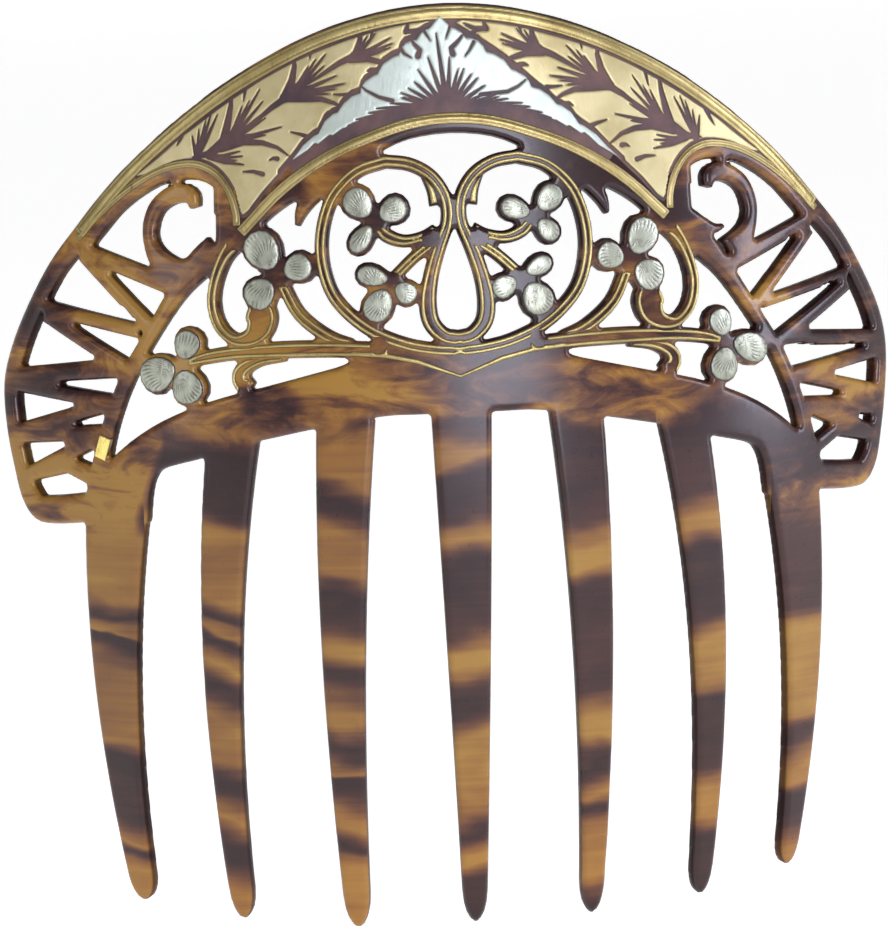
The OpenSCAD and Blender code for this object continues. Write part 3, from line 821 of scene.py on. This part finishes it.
def tortoiseshell():
    paint = Paint("tortoiseshell")
    x, y, z = paint.axes()
    streaks = paint.noise(1, 5, 0.6, paint.stretched((90, 90, 230)), 1.4)
    large = paint.noise(1, 3, 0.5, paint.stretched((30, 40, 75)), 0.6)
    waves = paint.noise(1, 2.5, 0.5, paint.stretched((55, 55, 130)), 0.3)
    wobble = paint.math("MULTIPLY", paint.math("SUBTRACT", waves, 0.5), 9 * MM)
    bands = tooth_bands(paint, x, z, wobble)
    # The outer teeth start lower, and the side rims beyond them belong to the crown
    reach = paint.math("ABSOLUTE", x)
    lower = paint.math("MULTIPLY", paint.math("SUBTRACT", reach, 42 * MM), 1 / (5 * MM), clamp=True)
    root = paint.math("SUBTRACT", -1.5 * MM, paint.math("MULTIPLY", lower, 13.5 * MM))
    root = paint.math("ADD", root, paint.math("MULTIPLY", wobble, 0.8))
    in_teeth = paint.math("MULTIPLY", paint.math("SUBTRACT", root, z), 1 / (4 * MM), clamp=True)
    # The crown: clear amber at the left foot, dark brown in the middle, mixed at the rims
    mottle = paint.math("ADD", streaks, paint.math("MULTIPLY", large, 1.2))
    along = paint.math("ADD", paint.math("MULTIPLY", x, 1 / (140 * MM)), 0.5)
    bias = paint.ramp(
        along,
        [
            (0.0, 0.16),
            (0.08, 0.14),
            (0.16, 0.06),
            (0.36, 0.04),
            (0.44, 0.24),
            (0.56, 0.36),
            (0.78, 0.28),
            (0.9, 0.3),
            (1.0, 0.26),
        ],
    )
    mottle = paint.math("ADD", mottle, paint.math("MULTIPLY", bias, 1.15))
    mottle = paint.math("ADD", mottle, paint.math("MULTIPLY", z, 4.5))
    crown = paint.math("MULTIPLY", paint.math("SUBTRACT", mottle, 1.16), 2.4, clamp=True)
    chooser = paint.nodes.new("ShaderNodeMix")
    paint.feed(chooser.inputs[0], in_teeth)
    paint.feed(chooser.inputs[2], crown)
    paint.feed(chooser.inputs[3], bands)
    cloud = paint.math("MULTIPLY", paint.math("SUBTRACT", large, 0.45), 1.1)
    threads = paint.noise(1, 3, 0.6, paint.stretched((24, 24, 1100)), 0.4)
    threads = paint.math("MULTIPLY", paint.math("SUBTRACT", threads, 0.5), 0.34)
    darkness = paint.math("ADD", chooser.outputs[0], paint.math("ADD", cloud, threads), clamp=True)
    colour = paint.ramp(
        darkness,
        [
            (0.0, (142, 105, 42)),
            (0.22, (122, 82, 34)),
            (0.5, (86, 52, 30)),
            (0.75, (56, 28, 22)),
            (1.0, (36, 14, 14)),
        ],
    )
    tip = paint.math("MULTIPLY", paint.math("ADD", z, 45 * MM), -22, clamp=True)
    colour = paint.mix(paint.math("MULTIPLY", tip, 0.35), colour, (226, 168, 52), "SOFT_LIGHT")
    # Painted shade: the walls, turned side-on, are painted darker than the polished faces
    outward = paint.add("ShaderNodeCombineXYZ")
    paint.feed(outward.inputs[0], x)
    paint.feed(outward.inputs[1], paint.math("SUBTRACT", y, BEND_R * MM))
    unit = paint.add("ShaderNodeVectorMath", operation="NORMALIZE")
    paint.links.new(outward.outputs[0], unit.inputs[0])
    facing = paint.add("ShaderNodeVectorMath", operation="DOT_PRODUCT")
    paint.links.new(unit.outputs[0], facing.inputs[0])
    normal = paint.add("ShaderNodeTexCoord").outputs["Normal"]
    paint.links.new(normal, facing.inputs[1])
    face = paint.math("ABSOLUTE", facing.outputs["Value"])
    wall = paint.math("MULTIPLY", paint.math("SUBTRACT", 0.52, face), 3.0, clamp=True)
    # Painted shade: the walls are mixed toward dark brown
    colour = paint.mix(paint.math("MULTIPLY", wall, 0.72), colour, (30, 15, 14))
    paint.links.new(colour, paint.shader.inputs["Base Color"])
    paint.set(IOR=1.5, Coat_Roughness=0.22)
    paint.links.new(paint.spread(wall, 0.14, 0.04), paint.shader.inputs["Specular IOR Level"])
    paint.links.new(paint.spread(wall, 0.6, 0.08), paint.shader.inputs["Coat Weight"])
    scuffs = paint.noise(900, 3, 0.6)
    paint.links.new(paint.spread(scuffs, 0.2, 0.42), paint.shader.inputs["Roughness"])
    fine = paint.noise(1, 4, 0.6, paint.stretched((260, 260, 140)))
    paint.bump(fine, 0.12, 0.0004)
    return paint.material


def metal(name, light, mid, dark, roughness, scratch=(1400, 1400, 500), wear=0.5, groove=(64, 42, 34)):
    """Old metal leaf: uneven colour, fine scratches and darker worn places."""
    paint = Paint(name)
    broad = paint.noise(120, 4, 0.6)
    grain = paint.noise(1, 5, 0.65, paint.stretched(scratch))
    colour = paint.ramp(broad, [(0.3, mid), (0.62, light)])
    worn = paint.math("MULTIPLY", paint.math("SUBTRACT", grain, 1 - wear), 3.0, clamp=True)
    colour = paint.mix(worn, colour, dark)
    # Painted shade: the shade attribute darkens grooves and edges toward the groove colour, and on the
    # leaves also the scratch marks
    shade = paint.add("ShaderNodeAttribute", attribute_name="shade").outputs["Fac"]
    colour = paint.mix(paint.math("MULTIPLY", shade, 0.9), colour, groove)
    paint.links.new(colour, paint.shader.inputs["Base Color"])
    paint.set(Metallic=0.7)
    paint.links.new(
        paint.spread(grain, roughness - 0.08, roughness + 0.12), paint.shader.inputs["Roughness"]
    )
    paint.bump(grain, 0.25, 0.0002)
    return paint.material


def dark_ground():
    paint = Paint("engraved_ground")
    patches = paint.noise(140, 4, 0.6)
    colour = paint.ramp(patches, [(0.35, (52, 32, 38)), (0.65, (92, 62, 56))])
    paint.links.new(colour, paint.shader.inputs["Base Color"])
    grain = paint.noise(2200, 3, 0.6)
    paint.links.new(paint.spread(grain, 0.4, 0.65), paint.shader.inputs["Roughness"])
    paint.bump(grain, 0.2, 0.0002)
    return paint.material


# ---- The stage ----


def pale_floor():
    """Plain pale floor under the tips with a far rim, which glows less in front of the comb."""
    low, reach, height, sides = cad_low[2], 40.0, 8.0, 48
    turns = [2 * math.pi * k / sides for k in range(sides)]
    ring = [(reach * math.cos(t), reach * math.sin(t)) for t in turns]
    corners = [(x, y, low) for x, y in ring] + [(x, y, low + height) for x, y in ring]
    rim = [(k, (k + 1) % sides, (k + 1) % sides + sides, k + sides) for k in range(sides)]
    mesh = bpy.data.meshes.new("floor")
    mesh.from_pydata(corners, [], [tuple(range(sides)), *rim])
    floor = bpy.data.objects.new("floor", mesh)
    bpy.context.scene.collection.objects.link(floor)
    paint = Paint("floor_paint")
    tone = paint.noise(3, 2, 0.5)
    colour = paint.ramp(tone, [(0.3, (251, 251, 252)), (0.7, (252, 252, 252))])
    paint.links.new(colour, paint.shader.inputs["Base Color"])
    paint.set(Roughness=0.9, Emission_Color=(1, 1, 1, 1))
    behind = paint.math("MULTIPLY", paint.math("ADD", paint.axes()[1], 0.4), 3.0, clamp=True)
    paint.links.new(paint.spread(behind, 0.1, 0.66), paint.shader.inputs["Emission Strength"])
    floor.data.materials.append(paint.material)


def lamp(name, place, size, power, colour):
    """A soft rectangular light that faces the comb; metres and watts."""
    area = bpy.data.lights.new(name, "AREA")
    area.shape = "RECTANGLE"
    area.size, area.size_y = size
    area.energy = power
    area.color = colour
    made = bpy.data.objects.new(name, area)
    made.location = place
    toward = Vector((0, 0.01, -0.01)) - Vector(place)
    made.rotation_euler = toward.to_track_quat("-Z", "Y").to_euler()
    bpy.context.scene.collection.objects.link(made)


def room_light():
    """Soft white light all round, three tall window lamps and one lamp above."""
    bpy.context.scene.view_settings.view_transform = "Standard"
    world = bpy.data.worlds.new("white_room")
    world.use_nodes = True
    background = world.node_tree.nodes["Background"]
    background.inputs[0].default_value = (1, 1, 1, 1)
    background.inputs[1].default_value = 0.28
    bpy.context.scene.world = world
    lamp("window", (0.12, -0.58, 0.05), (0.2, 0.46), 3.0, (0.84, 0.85, 1.0))
    lamp("window_right", (0.56, -0.22, 0.1), (0.12, 0.6), 2.6, (0.8, 0.82, 1.0))
    lamp("window_left", (-0.55, -0.4, 0.2), (0.1, 0.6), 0.7, (0.9, 0.9, 1.0))
    lamp("top", (0.05, -0.1, 0.7), (0.5, 0.4), 0.5, (1.0, 0.98, 0.94))


CAMERA_TURNS = (0.06375, 0.12387, -0.03693)  # yaw, pitch and roll in radians
CAMERA_AWAY = 0.550  # metres from the comb's origin
CAMERA_SHIFT = (0.002527, 0.006969)  # metres to the left and down
CAMERA_LENS = 151.65  # millimetres, on a 36 mm sensor


def add_camera():
    """A long lens in front of the comb, a little above it and to its left."""
    yaw, pitch, roll = CAMERA_TURNS
    c, s = math.cos(yaw), math.sin(yaw)
    about_z = Matrix(((c, -s, 0), (s, c, 0), (0, 0, 1)))
    c, s = math.cos(pitch), math.sin(pitch)
    about_x = Matrix(((1, 0, 0), (0, c, -s), (0, s, c)))
    c, s = math.cos(roll), math.sin(roll)
    about_y = Matrix(((c, 0, s), (0, 1, 0), (-s, 0, c)))
    view = about_y @ about_x @ about_z
    right, ahead, up = view[0], view[1], view[2]
    data = bpy.data.cameras.new("camera")
    data.lens = CAMERA_LENS
    data.sensor_width = 36
    made = bpy.data.objects.new("camera", data)
    place = -CAMERA_AWAY * ahead - CAMERA_SHIFT[0] * right - CAMERA_SHIFT[1] * up
    made.matrix_world = Matrix(
        (
            (right[0], up[0], -ahead[0], place[0]),
            (right[1], up[1], -ahead[1], place[1]),
            (right[2], up[2], -ahead[2], place[2]),
            (0, 0, 0, 1),
        )
    )
    bpy.context.scene.collection.objects.link(made)
    bpy.context.scene.camera = made


def build():
    shell_paint = tortoiseshell()
    gilt = metal("gilt", (180, 164, 108), (140, 123, 72), (78, 57, 40), 0.3, wear=0.44)
    foil = metal("gold_foil", (192, 180, 136), (164, 150, 106), (108, 90, 62), 0.42, wear=0.36)
    silver = metal("silver_foil", (188, 196, 186), (166, 176, 164), (108, 106, 98), 0.42, wear=0.36)
    leaf_silver = metal(
        "leaf_silver",
        (178, 182, 164),
        (132, 134, 116),
        (66, 56, 52),
        0.34,
        wear=0.48,
        groove=(48, 38, 40),
    )
    keep(sheet_skin(), shell_paint, "tortoiseshell", *CELLULOID)
    keep(engraved_ground(), dark_ground(), "tortoiseshell", "crown_plate")
    keep(band("outer_gilt_edge", "outer_gilt_band", -0.6, 0.5), gilt, "gilt_band", "outer_gilt_band")
    keep(band("arch_gilt_edge", "arch_gilt_band", -0.3, 0.4), gilt, "gilt_band", "arch_gilt_band")
    for side, sign in (("left", -1), ("right", 1)):
        node = f"{side}_arch_gilt_band"
        keep(band(f"{node}_edge", node, -0.5, 0.3, 0.15), gilt, "gilt_band", node)
        node = f"{side}_gold_foliage"
        keep(gold_foliage(sign, f"{node}_foil", node), foil, "gold_foil", node)
        for place in ("far", "outer", "upper", "lower"):
            node = f"{side}_{place}_trefoil"
            keep(trefoil(f"{node}_leaves", node), leaf_silver, "silver_foil", node)
    keep(gilt_ridges(), gilt, "gilding", "left_gilt_lines", "right_gilt_lines")
    keep(silver_palmette(), silver, "silver_foil", "silver_palmette")
    bright = metal("bright_gilt", (246, 224, 130), (220, 186, 80), (150, 104, 40), 0.25, wear=0.3)
    keep(band("gilt_dab", "gilt_patch", -0.5, 5.0, 0.15), bright, "gilding", "gilt_patch")


build()
pale_floor()
room_light()
add_camera()
